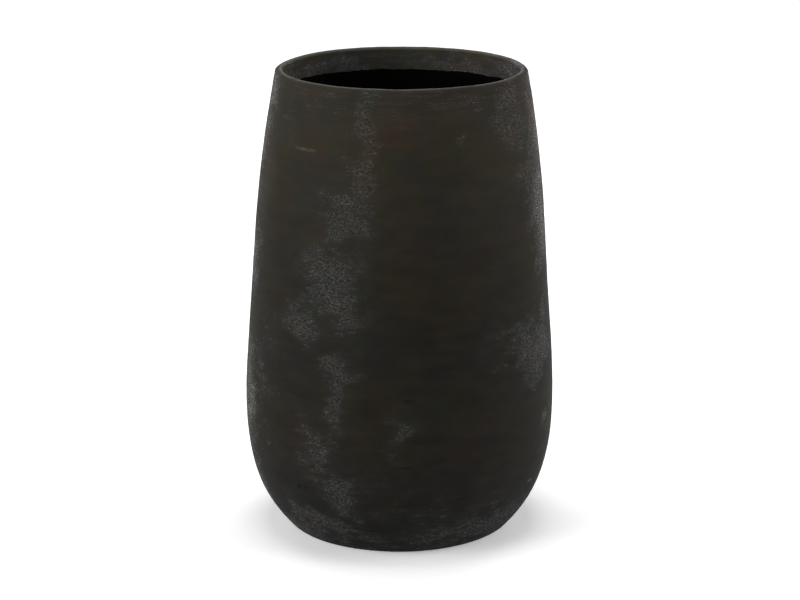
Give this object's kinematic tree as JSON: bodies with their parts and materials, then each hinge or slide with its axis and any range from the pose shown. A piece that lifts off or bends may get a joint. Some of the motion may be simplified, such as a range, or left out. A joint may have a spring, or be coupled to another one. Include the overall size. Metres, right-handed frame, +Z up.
{
  "type": "clay pot",
  "caption": "Tall open clay pot, black and unglazed, swelling low down, with a thin rounded lip and a flat foot.",
  "frame": {"origin": "centre of the foot, on the surface the pot stands on", "axes": "+Z up along the pot's axis, +X to the right when seen from the front, +Y to the back"},
  "size_m": [0.2694, 0.2694, 0.4],
  "materials": {
    "black_slipped_clay": "matte black slip on dark grey clay, rubbed through in grainy patches",
    "seal_coat": "dead matte black sealing coat"
  },
  "bodies": {
    "root": {"base_pad": "black_slipped_clay", "wall_course_1": "black_slipped_clay", "wall_course_2": "black_slipped_clay", "wall_course_3": "black_slipped_clay", "wall_course_4": "black_slipped_clay", "wall_course_5": "black_slipped_clay", "wall_course_6": "black_slipped_clay", "lip_coil": "black_slipped_clay", "inner_seal_coat": "seal_coat"}
  },
  "joints": []
}
